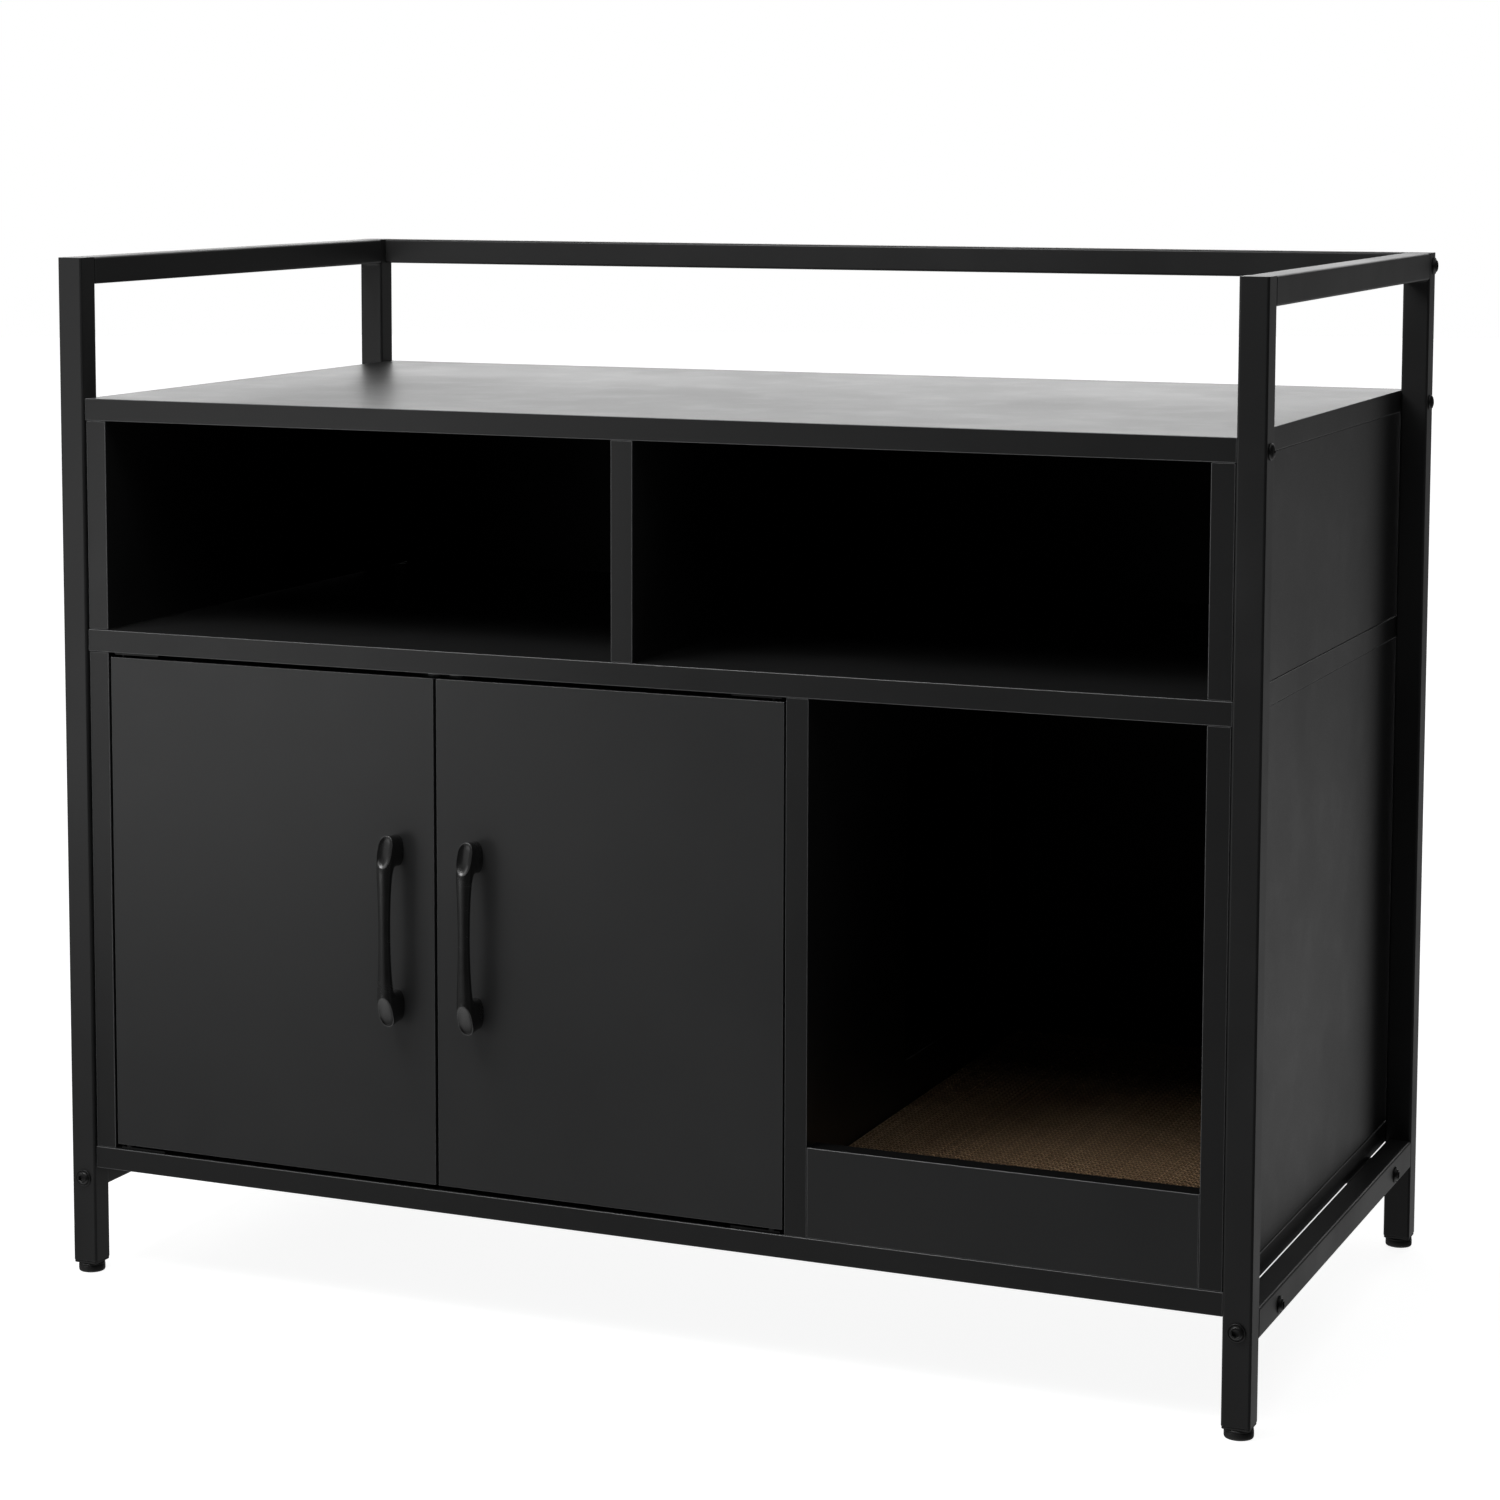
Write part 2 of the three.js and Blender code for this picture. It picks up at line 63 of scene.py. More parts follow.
# ------------------------------------------------------------------ camera
YAW, PITCH, ROLL = math.radians(24.613), math.radians(-6.022), math.radians(-0.078)
fwd = Vector((-math.sin(YAW) * math.cos(PITCH), math.cos(YAW) * math.cos(PITCH), math.sin(PITCH)))
right = fwd.cross(Vector((0, 0, 1))).normalized()
up = right.cross(fwd)
r2 = right * math.cos(ROLL) + up * math.sin(ROLL)
u2 = -right * math.sin(ROLL) + up * math.cos(ROLL)
cam_data = bpy.data.cameras.new("camera")
cam = bpy.data.objects.new("camera", cam_data)
scene.collection.objects.link(cam)
m = Matrix.Identity(4)
for i, v in enumerate((r2, u2, -fwd)):
    m[0][i], m[1][i], m[2][i] = v
m.translation = Vector((1.173046, -2.857263, 0.951689))
cam.matrix_world = m
cam_data.sensor_fit = "HORIZONTAL"
cam_data.sensor_width = 36.0
cam_data.lens = 90.349
cam_data.shift_x = 0.100
cam_data.shift_y = -0.1532
cam_data.clip_start = 0.05
cam_data.clip_end = 60.0
scene.camera = cam


# ------------------------------------------------------------ material tools
class Tree:
    """A small helper for node materials; everything is measured in the object's own metres."""

    def __init__(self, name):
        self.m = bpy.data.materials.new(name)
        self.m.use_nodes = True
        self.nt = self.m.node_tree
        self.nt.nodes.clear()
        self.out = self.nt.nodes.new("ShaderNodeOutputMaterial")
        self.b = self.nt.nodes.new("ShaderNodeBsdfPrincipled")
        self.nt.links.new(self.b.outputs[0], self.out.inputs[0])
        self.co = self.nt.nodes.new("ShaderNodeTexCoord").outputs["Object"]
        self.last_bump = None

    def link(self, a, b):
        self.nt.links.new(a, b)

    def stretch(self, sx, sy, sz, rot=(0, 0, 0)):
        n = self.nt.nodes.new("ShaderNodeMapping")
        n.inputs["Scale"].default_value = (sx, sy, sz)
        n.inputs["Rotation"].default_value = rot
        self.link(self.co, n.inputs["Vector"])
        return n.outputs[0]

    def noise(self, scale, detail=2.0, rough=0.5, vec=None, distortion=0.0):
        n = self.nt.nodes.new("ShaderNodeTexNoise")
        n.inputs["Scale"].default_value = scale
        n.inputs["Detail"].default_value = detail
        n.inputs["Roughness"].default_value = rough
        n.inputs["Distortion"].default_value = distortion
        self.link(vec if vec is not None else self.co, n.inputs["Vector"])
        return n.outputs["Fac"]

    def voronoi(self, scale, feature="F1", vec=None):
        n = self.nt.nodes.new("ShaderNodeTexVoronoi")
        n.feature = feature
        n.inputs["Scale"].default_value = scale
        self.link(vec if vec is not None else self.co, n.inputs["Vector"])
        return n.outputs["Distance"]

    def math(self, op, a, b=None, c=None):
        n = self.nt.nodes.new("ShaderNodeMath")
        n.operation = op
        for i, v in enumerate((a, b, c)):
            if v is None:
                continue
            if isinstance(v, (int, float)):
                n.inputs[i].default_value = v
            else:
                self.link(v, n.inputs[i])
        return n.outputs[0]

    def remap(self, v, a, b, lo, hi, smooth=True):
        n = self.nt.nodes.new("ShaderNodeMapRange")
        n.interpolation_type = "SMOOTHSTEP" if smooth else "LINEAR"
        self.link(v, n.inputs["Value"])
        n.inputs["From Min"].default_value = a
        n.inputs["From Max"].default_value = b
        n.inputs["To Min"].default_value = lo
        n.inputs["To Max"].default_value = hi
        return n.outputs["Result"]

    def ramp(self, v, stops):
        n = self.nt.nodes.new("ShaderNodeValToRGB")
        e = n.color_ramp.elements
        while len(e) > 1:
            e.remove(e[-1])
        e[0].position = stops[0][0]
        e[0].color = (*stops[0][1], 1.0)
        for pos, col in stops[1:]:
            k = e.new(pos)
            k.color = (*col, 1.0)
        self.link(v, n.inputs["Fac"])
        return n.outputs["Color"]

    def mix(self, fac, a, b, mode="MIX"):
        n = self.nt.nodes.new("ShaderNodeMix")
        n.data_type = "RGBA"
        n.blend_type = mode
        for sock, v in ((n.inputs[0], fac), (n.inputs[6], a), (n.inputs[7], b)):
            if isinstance(v, (int, float)):
                sock.default_value = v
            elif isinstance(v, tuple):
                sock.default_value = (*v, 1.0)
            else:
                self.link(v, sock)
        return n.outputs[2]

    def bump(self, height, strength, distance):
        n = self.nt.nodes.new("ShaderNodeBump")
        n.inputs["Strength"].default_value = strength
        n.inputs["Distance"].default_value = distance
        self.link(height, n.inputs["Height"])
        if self.last_bump is not None:
            self.link(self.last_bump, n.inputs["Normal"])
        self.last_bump = n.outputs["Normal"]
        self.link(self.last_bump, self.b.inputs["Normal"])

    def set(self, **kw):
        for k, v in kw.items():
            self.b.inputs[k.replace("_", " ")].default_value = v
        return self

    def color(self, sock):
        self.link(sock, self.b.inputs["Base Color"])

    def rough(self, sock):
        self.link(sock, self.b.inputs["Roughness"])


def grey(v, warm=0.0):
    return (v * (1 + warm), v, v * (1 - warm))


# Satin powder coat on the steel tube: soft orange peel and a faint speckle.
def frame_coat():
    t = Tree("frame_coat_powder")
    cloud = t.noise(9.0, 3.0, 0.55)
    peel = t.noise(620.0, 2.0, 0.45)
    fine = t.noise(2600.0, 1.0, 0.5)
    speck = t.voronoi(900.0)
    base = t.ramp(cloud, [(0.30, (0.0150, 0.0152, 0.0154)), (0.55, (0.0180, 0.0182, 0.0184)), (0.80, (0.0205, 0.0206, 0.0208))])
    dots = t.remap(speck, 0.05, 0.16, 0.35, 0.0)
    t.color(t.mix(dots, base, grey(0.030)))
    t.rough(t.math("ADD", t.remap(cloud, 0.3, 0.75, 0.36, 0.44), t.remap(fine, 0.3, 0.7, -0.02, 0.03)))
    t.bump(peel, 0.20, 0.00012)
    t.bump(fine, 0.10, 0.00004)
    t.set(Specular_IOR_Level=0.5)
    return t.m


# Melamine-faced board: dead flat, a very fine pearl grain and a little cloudiness.
def board_laminate(name="board_laminate_black", v=0.0135, rough=0.365, shaded_top=False):
    t = Tree(name)
    cloud = t.noise(5.0, 4.0, 0.6)
    hand = t.noise(23.0, 3.0, 0.6)
    grain = t.noise(1500.0, 2.0, 0.6)
    pearl = t.voronoi(2100.0)
    base = t.ramp(cloud, [(0.28, (v * 0.90, v * 0.915, v * 0.93)), (0.52, (v, v * 1.015, v * 1.03)), (0.78, (v * 1.10, v * 1.11, v * 1.12))])
    face = t.mix(t.remap(grain, 0.55, 0.75, 0.0, 0.45), base, grey(v * 1.4))
    r = t.math("ADD", t.remap(cloud, 0.3, 0.75, rough - 0.02, rough + 0.02), t.remap(hand, 0.45, 0.7, 0.0, -0.02))
    r = t.math("ADD", r, t.remap(grain, 0.3, 0.7, -0.03, 0.03))
    if shaded_top:
        # Painted shade: the up-facing top is darkened to near black, and made duller and less specular.
        split = t.nt.nodes.new("ShaderNodeSeparateXYZ")
        t.link(t.nt.nodes.new("ShaderNodeTexCoord").outputs["Normal"], split.inputs[0])
        painted_top_shade = t.remap(split.outputs[2], 0.93, 0.995, 0.0, 1.0)
        face = t.mix(painted_top_shade, face, grey(0.004))
        r = t.math("ADD", r, t.math("MULTIPLY", painted_top_shade, 0.45))
        t.link(t.math("SUBTRACT", 0.5, t.math("MULTIPLY", painted_top_shade, 0.4)), t.b.inputs["Specular IOR Level"])
    t.color(face)
    t.rough(r)
    t.bump(pearl, 0.10, 0.00005)
    t.bump(grain, 0.12, 0.00004)
    t.set(Specular_IOR_Level=0.5)
    return t.m


# Thin hardboard, painted on the face: pressed fibre with a woven screen mark.
def back_hardboard():
    t = Tree("back_hardboard_black")
    cloud = t.noise(7.0, 4.0, 0.6)
    fibre = t.noise(160.0, 5.0, 0.7, t.stretch(1.0, 1.0, 6.0))
    fine = t.noise(900.0, 3.0, 0.6)
    base = t.ramp(cloud, [(0.3, grey(0.010)), (0.55, grey(0.013)), (0.8, grey(0.016, 0.04))])
    t.color(t.mix(t.remap(fibre, 0.52, 0.75, 0.0, 0.6), base, grey(0.024, 0.05)))
    t.rough(t.remap(fibre, 0.3, 0.7, 0.62, 0.80))
    t.bump(fibre, 0.25, 0.00015)
    t.bump(fine, 0.20, 0.00006)
    return t.m


# Satin black on die-cast zinc.
def handle_satin():
    t = Tree("handle_satin_black")
    cloud = t.noise(60.0, 3.0, 0.55)
    fine = t.noise(1500.0, 2.0, 0.5)
    t.color(t.ramp(cloud, [(0.3, grey(0.010)), (0.6, grey(0.013)), (0.85, grey(0.017))]))
    t.rough(t.math("ADD", t.remap(cloud, 0.3, 0.75, 0.19, 0.26), t.remap(fine, 0.3, 0.7, -0.02, 0.03)))
    t.bump(fine, 0.12, 0.00004)
    t.set(Specular_IOR_Level=0.7)
    return t.m


# Blackened steel fasteners: oily oxide, rubbed a little lighter here and there.
def bolt_black():
    t = Tree("bolt_black_oxide")
    cloud = t.noise(240.0, 4.0, 0.6)
    fine = t.noise(2400.0, 2.0, 0.5)
    t.color(t.ramp(cloud, [(0.30, grey(0.018)), (0.58, grey(0.030)), (0.72, grey(0.048)), (0.88, grey(0.030))]))
    t.rough(t.math("ADD", t.remap(cloud, 0.3, 0.75, 0.30, 0.44), t.remap(fine, 0.3, 0.7, -0.03, 0.04)))
    t.bump(fine, 0.15, 0.00003)
    t.set(Metallic=0.55, Specular_IOR_Level=0.6)
    return t.m


# Black-plated steel strip, drawn along its length.
def pivot_black():
    t = Tree("pivot_black_plated")
    cloud = t.noise(120.0, 4.0, 0.6)
    drawn = t.noise(420.0, 3.0, 0.6, t.stretch(0.08, 1.0, 1.0))
    t.color(t.ramp(cloud, [(0.3, grey(0.016)), (0.6, grey(0.024)), (0.85, grey(0.034))]))
    t.rough(t.math("ADD", t.remap(cloud, 0.3, 0.75, 0.34, 0.44), t.remap(drawn, 0.3, 0.7, -0.05, 0.09)))
    t.bump(drawn, 0.2, 0.00003)
    t.set(Metallic=0.4)
    return t.m


# Moulded plastics: spark-eroded texture and flow marks.
def moulded(name, v, r, scale, coarse=45.0):
    t = Tree(name)
    cloud = t.noise(coarse, 3.0, 0.55)
    grain = t.noise(scale, 3.0, 0.6)
    t.color(t.ramp(cloud, [(0.3, grey(v * 0.82)), (0.55, grey(v)), (0.8, grey(v * 1.25))]))
    t.rough(t.math("ADD", t.remap(cloud, 0.3, 0.75, r - 0.04, r + 0.05), t.remap(grain, 0.3, 0.7, -0.04, 0.05)))
    t.bump(grain, 0.35, 0.00006)
    t.set(Specular_IOR_Level=0.5)
    return t.m


# Kraft board seen on its cut edges: pale fibres, darker glue lines and dust, with painted shade down inside the
# flutes.
def cardboard(name, lift=1.0):
    t = Tree(name)
    cloud = t.noise(11.0, 4.0, 0.6)
    fibre = t.noise(900.0, 4.0, 0.7, t.stretch(1.0, 1.0, 0.18))
    fleck = t.voronoi(420.0)
    a = t.ramp(
        cloud,
        [
            (0.25, (0.300 * lift, 0.185 * lift, 0.100 * lift)),
            (0.50, (0.400 * lift, 0.258 * lift, 0.145 * lift)),
            (0.80, (0.480 * lift, 0.325 * lift, 0.195 * lift)),
        ],
    )
    b = t.mix(t.remap(fibre, 0.45, 0.72, 0.0, 0.55), a, (0.560 * lift, 0.400 * lift, 0.255 * lift))
    c = t.mix(t.remap(fleck, 0.04, 0.14, 0.45, 0.0), b, (0.20, 0.12, 0.065))
    # Painted shade: below the cut tops, the walls down inside the flutes are darkened to a deep brown.
    split = t.nt.nodes.new("ShaderNodeSeparateXYZ")
    t.link(t.co, split.inputs[0])
    flute_painted_shade = t.remap(split.outputs[2], 0.15875, 0.15925, 0.78, 0.0)
    t.color(t.mix(flute_painted_shade, c, (0.045, 0.028, 0.016)))
    t.rough(t.remap(fibre, 0.3, 0.7, 0.84, 0.96))
    t.bump(fibre, 0.35, 0.00012)
    t.set(Specular_IOR_Level=0.3)
    return t.m


# Dull sintered ferrite, and bright steel.
def ferrite():
    t = Tree("ferrite_block")
    n = t.noise(500.0, 4.0, 0.65)
    t.color(t.ramp(n, [(0.3, grey(0.030, 0.03)), (0.7, grey(0.060, 0.03))]))
    t.rough(t.remap(n, 0.3, 0.7, 0.5, 0.7))
    t.bump(n, 0.3, 0.00006)
    return t.m


def steel():
    t = Tree("strike_steel")
    drawn = t.noise(600.0, 3.0, 0.6, t.stretch(0.06, 1.0, 1.0))
    t.color(t.ramp(drawn, [(0.3, (0.42, 0.42, 0.43)), (0.7, (0.60, 0.60, 0.60))]))
    t.rough(t.remap(drawn, 0.3, 0.7, 0.24, 0.40))
    t.bump(drawn, 0.2, 0.00002)
    t.set(Metallic=1.0)
    return t.m


MAT = {
    "frame_coat": frame_coat(),
    "board_laminate": board_laminate(),
    "back_hardboard": back_hardboard(),
    "handle_satin_black": handle_satin(),
    "bolt_black": bolt_black(),
    "pivot_black": pivot_black(),
    "foot_plastic": moulded("foot_plastic_black", 0.017, 0.46, 1500.0),
    "insert_plastic": moulded("insert_plastic_black", 0.021, 0.55, 1900.0),
    "catch_plastic": moulded("catch_plastic_black", 0.019, 0.50, 1700.0),
    "corrugated_card": cardboard("corrugated_card_kraft", 1.60),
}
# Painted light: the doors and the kick board get lighter copies of the same black laminate, so the front faces read
# brighter than the carcass.
DOOR_LIT_COPY = board_laminate("door_laminate_lit_copy", 0.0300, 0.375)
# The kick board's copy also carries painted shade on its up-facing top.
KICK_LIT_COPY = board_laminate("kick_laminate_lit_copy_shaded_top", 0.0240, 0.375, True)
# A lighter grey for the bevels: partly the trimmed edge band, partly painted highlight.
ARRIS_TRIM_AND_HIGHLIGHT = board_laminate("arris_trim_and_highlight_grey", 0.1300, 0.300)
CARD_LINER = cardboard("card_liner_kraft", 1.45)
FERRITE = ferrite()
STEEL = steel()

# ---------------------------------------------- finishes on the carried nodes
BODY_OF = {n: b for b, ns in frame["record"]["behaviour"]["bodies"].items() for n in ns}
SLOT_OF = {s["node"]: s["material_slot"] for s in frame["record"]["subparts"]}


def dress(name, width, segments=3, limit=50.0):
    """Rounds the sharp edges of a carried node a little and shades it evenly."""
    o = nodes[name]
    me = o.data
    a = me.attributes.get("custom_normal")
    if a is not None:
        me.attributes.remove(a)
    me.polygons.foreach_set("use_smooth", [True] * len(me.polygons))
    w = o.modifiers.new("weld", "WELD")
    w.merge_threshold = 0.00001
    d = o.modifiers.new("flat", "DECIMATE")
    d.decimate_type = "DISSOLVE"
    d.angle_limit = math.radians(0.4)
    b = o.modifiers.new("edges", "BEVEL")
    b.width = width
    b.segments = segments
    b.limit_method = "ANGLE"
    b.angle_limit = math.radians(limit)
    b.use_clamp_overlap = True
    b.miter_outer = "MITER_ARC"
    n = o.modifiers.new("normals", "WEIGHTED_NORMAL")
    n.weight = 60
    n.keep_sharp = False


BOARDS = [
    "top_board", "middle_shelf", "bottom_board",
    "upper_left_side_panel", "upper_right_side_panel", "lower_left_side_panel", "lower_right_side_panel",
    "upper_divider", "lower_divider", "kick_board",
]
for n in BOARDS:
    # The level boards stand proud of the side panels by less than a millimetre, so their arrises stay crisp.
    dress(n, 0.00055)
for n in ("left_door", "right_door"):
    dress(n, 0.0010)
for n in ("upper_back_panel", "lower_back_panel"):
    dress(n, 0.0004, 2)
    # The thin backs are sprung tight into their recess, so no light comes round them.
    k = nodes[n].modifiers.new("snug", "DISPLACE")
    k.direction = "NORMAL"
    k.mid_level = 0.0
    k.strength = 0.0005
for n in nodes:
    if n.endswith("_post") or n.endswith("_rail") or n.endswith("_cross_bar"):
        dress(n, 0.00035, 2)
    elif n.endswith("_pivot") or n.endswith("_bush") or n.endswith("_insert"):
        dress(n, 0.0002, 2)
for n, o in nodes.items():
    # The doors and kick board take the lighter, painted-light copies of the laminate.
    mat = {"left_door": DOOR_LIT_COPY, "right_door": DOOR_LIT_COPY, "kick_board": KICK_LIT_COPY}.get(n) or MAT[SLOT_OF[n]]
    if not o.material_slots:
        o.data.materials.append(mat)
    for s in o.material_slots:
        s.material = mat
    if n in BOARDS or n in ("left_door", "right_door"):
        # The bevel faces get a lighter grey: partly the trimmed edge band's own fine lighter line, partly painted
        # highlight where the rounded arrises catch light.
        o.data.materials.append(ARRIS_TRIM_AND_HIGHLIGHT)
        o.modifiers["edges"].material = len(o.material_slots) - 1


# ------------------------------------------------------------- mesh tools
def finish_mesh(bm, name, body, mats, sharp=32.0):
    bmesh.ops.recalc_face_normals(bm, faces=bm.faces[:])
    me = bpy.data.meshes.new(name)
    bm.to_mesh(me)
    bm.free()
    for k in mats:
        me.materials.append(k)
    me.polygons.foreach_set("use_smooth", [True] * len(me.polygons))
    me.set_sharp_from_angle(angle=math.radians(sharp))
    o = bpy.data.objects.new(name, me)
    scene.collection.objects.link(o)
    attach(o, body)
    return o


def ring_loft(bm, rings, close_start=True, close_end=True, mat=0):
    """Joins closed rings of equal length; a ring of one point closes to a tip."""
    made = [[bm.verts.new(p) for p in r] for r in rings]
    for a, b in zip(made, made[1:]):
        na, nb = len(a), len(b)
        n = max(na, nb)
        for i in range(n):
            j = (i + 1) % n
            if na == 1:
                f = bm.faces.new((a[0], b[i], b[j]))
            elif nb == 1:
                f = bm.faces.new((a[i], a[j], b[0]))
            else:
                f = bm.faces.new((a[i], a[j], b[j], b[i]))
            f.material_index = mat
    if close_start and len(made[0]) > 1:
        bm.faces.new(list(reversed(made[0]))).material_index = mat
    if close_end and len(made[-1]) > 1:
        bm.faces.new(made[-1]).material_index = mat
    return made


def frame_of(axis):
    """Two directions across an axis, for drawing rings around it."""
    a = Vector(axis).normalized()
    s = Vector((0, 0, 1)) if abs(a.z) < 0.9 else Vector((1, 0, 0))
    u = s.cross(a).normalized()
    return a, u, a.cross(u)


def turned(bm, origin, axis, profile, n=48, mat=0):
    """profile holds (radius, height) or (radius, height, sides) in millimetres."""
    a, u, v = frame_of(axis)
    rings = []
    for p in profile:
        r, h = p[0] / 1000.0, p[1] / 1000.0
        if r <= 0:
            rings.append([origin + a * h])
            continue
        pts = []
        for i in range(n):
            th = 2 * math.pi * i / n
            rr = r
            if len(p) > 2:
                k = 2 * math.pi / p[2]
                rr = r / math.cos(((th + k / 2) % k) - k / 2)
            pts.append(origin + a * h + (u * math.cos(th) + v * math.sin(th)) * rr)
        rings.append(pts)
    ring_loft(bm, rings, False, False, mat)


def soft_box(bm, lo, hi, r, mat=0, seg=3):
    """A block with every edge rounded."""
    lo, hi = Vector(lo), Vector(hi)
    made = bmesh.ops.create_cube(bm, size=1.0)["verts"]
    for v in made:
        v.co = Vector((lo[i] + (v.co[i] + 0.5) * (hi[i] - lo[i]) for i in range(3)))
    faces = list({f for v in made for f in v.link_faces})
    for f in faces:
        f.material_index = mat
    edges = list({e for f in faces for e in f.edges})
    bmesh.ops.bevel(bm, geom=edges, offset=r, segments=seg, profile=0.5, affect="EDGES", clamp_overlap=True, material=mat)


def thread(r_out, r_in, z0, z1, pitch):
    """Alternating crests and roots of a thread, as a turned profile."""
    out, z = [], z0
    step = pitch if z1 > z0 else -pitch
    while (z1 - z) * step > 0:
        out += [(r_out, z), (r_in, z + step * 0.5)]
        z += step
    return out


# ------------------------------------------------------------ the bow pulls
def pull(name, node, body, cx):
    """Hourglass bar whose two ends are cut on a slant to dished ovals, on legs that run back to the door."""
    cz = 317.7
    pairs = [  # inner (y, z), outer (y, z), half width
        ((-14.45, 0.0), (-22.00, 0.0), 4.72),
        ((-14.42, 8.0), (-22.00, 8.0), 4.78),
        ((-14.36, 16.0), (-22.00, 16.0), 4.94),
        ((-14.25, 24.0), (-22.00, 24.0), 5.18),
        ((-14.05, 31.0), (-22.00, 32.0), 5.52),
        ((-13.75, 37.0), (-22.00, 40.0), 5.92),
        ((-13.20, 41.6), (-21.95, 46.5), 6.24),
        ((-12.30, 44.8), (-21.75, 52.0), 6.52),
        ((-11.00, 47.0), (-21.60, 60.0), 6.68),
        ((-9.30, 48.4), (-21.20, 69.0), 6.74),
        ((-7.40, 49.3), (-18.20, 77.2), 6.70),
        ((-5.30, 49.9), (-11.20, 76.3), 6.52),
        ((-3.00, 50.2), (-6.20, 75.8), 6.34),
        ((-0.40, 50.3), (-1.60, 75.2), 6.26),
        ((1.60, 50.1), (1.40, 74.8), 6.40),
        ((3.00, 49.8), (3.00, 75.0), 6.55),
    ]
    n = 48
    bm = bmesh.new()
    rings = []
    for i, (a, b, w) in enumerate(pairs):
        k = 2.25 if i < 8 else 2.5
        c, d = Vector(((a[0] + b[0]) / 2, (a[1] + b[1]) / 2)), Vector(((b[0] - a[0]) / 2, (b[1] - a[1]) / 2))
        pts = []
        for s in range(n):
            th = 2 * math.pi * s / n
            ct, st = math.cos(th), math.sin(th)
            x = math.copysign(abs(st) ** (2.0 / k), st) * w
            q = c + d * math.copysign(abs(ct) ** (2.0 / k), ct)
            pts.append(Vector((cx + x, q.x, cz + q.y)))
        rings.append(pts)
    ring_loft(bm, rings, False, True)
    # The slanted cut.
    p0, p1 = Vector((0, -21.4, 52.2)), Vector((0, -12.9, 76.3))
    along = (p1 - p0).normalized()
    normal = Vector((0, -along.z, along.y))
    origin = Vector((0, p0.y, cz + p0.z))
    res = bmesh.ops.bisect_plane(
        bm, geom=bm.verts[:] + bm.edges[:] + bm.faces[:], dist=1e-5, plane_co=origin, plane_no=normal, clear_outer=True
    )
    rim_edges = [e for e in res["geom_cut"] if isinstance(e, bmesh.types.BMEdge)]
    # Walk the cut's outline, then build a narrow raised rim and a smooth dish inside it.
    loop = [rim_edges[0].verts[0], rim_edges[0].verts[1]]
    todo = set(rim_edges[1:])
    while todo:
        nxt = next((e for e in todo if loop[-1] in e.verts), None)
        if nxt is None:
            break
        todo.discard(nxt)
        v = nxt.other_vert(loop[-1])
        if v is loop[0]:
            break
        loop.append(v)
    mid = sum((v.co for v in loop), Vector()) / len(loop)
    prev = loop
    for s, h in ((0.985, 0.10), (0.955, 0.13), (0.925, 0.06), (0.895, -0.14), (0.84, -0.44), (0.74, -0.80), (0.60, -1.12), (0.42, -1.38), (0.22, -1.54)):
        cur = [bm.verts.new(mid + (v.co - mid) * s + normal * h) for v in loop]
        for i in range(len(loop)):
            j = (i + 1) % len(loop)
            bm.faces.new((prev[i], prev[j], cur[j], cur[i]))
        prev = cur
    tip = bm.verts.new(mid - normal * 1.60)
    for i in range(len(loop)):
        bm.faces.new((prev[i], prev[(i + 1) % len(loop)], tip))
    # The other half is its mirror image.
    geom = bm.verts[:] + bm.edges[:] + bm.faces[:]
    dup = bmesh.ops.duplicate(bm, geom=geom)["geom"]
    for v in dup:
        if isinstance(v, bmesh.types.BMVert):
            v.co.z = 2 * cz - v.co.z
    bmesh.ops.reverse_faces(bm, faces=[x for x in dup if isinstance(x, bmesh.types.BMFace)])
    bmesh.ops.remove_doubles(bm, verts=bm.verts[:], dist=0.002)
    for v in bm.verts:
        v.co = P(v.co.x, v.co.y, v.co.z)
    o = finish_mesh(bm, name, body, [MAT["handle_satin_black"]], 30.0)
    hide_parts(node)
    return o


pull("left_bow_pull", "left_handle", "left_door_leaf", 304.6)
pull("right_bow_pull", "right_handle", "right_door_leaf", 374.6)


# ------------------------------------------------- fasteners with real heads
def socket_bolt(name, node, body, origin, axis, R, H, length):
    k = R / 7.0
    bm = bmesh.new()
    prof = [
        (0, -length),
        (2.2, -length),
        (2.9, -length + 0.8),
    ]
    prof += thread(3.0, 2.62, -length + 1.0, -length + 17.0, 1.0)
    prof += [(3.0, -length + 17.4), (3.0, -0.35), (3.2, -0.0)]
    prof += [
        (R - 0.35, 0.0),
        (R - 0.06, 0.14),
        (R, 0.34),
        (R, 0.86),
        (R - 0.10, 1.10),
        (R - 0.32, 1.28),
        (R - 0.60 * k, 1.34),
        (R - 0.92 * k, 1.30),
        (R - 1.14 * k, 1.12),
        (R - 1.30 * k, 0.98),
        (R - 1.48 * k, 1.02),
        (R - 1.62 * k, 1.30),
        (R - 1.90 * k, H * 0.66),
        (R - 2.35 * k, H * 0.84),
        (R - 2.85 * k, H * 0.95),
        (R - 3.30 * k, H),
        (3.05, H, 6),
        (2.72, H - 0.34, 6),
        (2.66, H - 2.0, 6),
        (2.0, H - 2.2, 6),
        (0, H - 2.5),
    ]
    turned(bm, origin, axis, prof, 36)
    o = finish_mesh(bm, name, body, [MAT["bolt_black"]], 38.0)
    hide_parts(node)
    return o


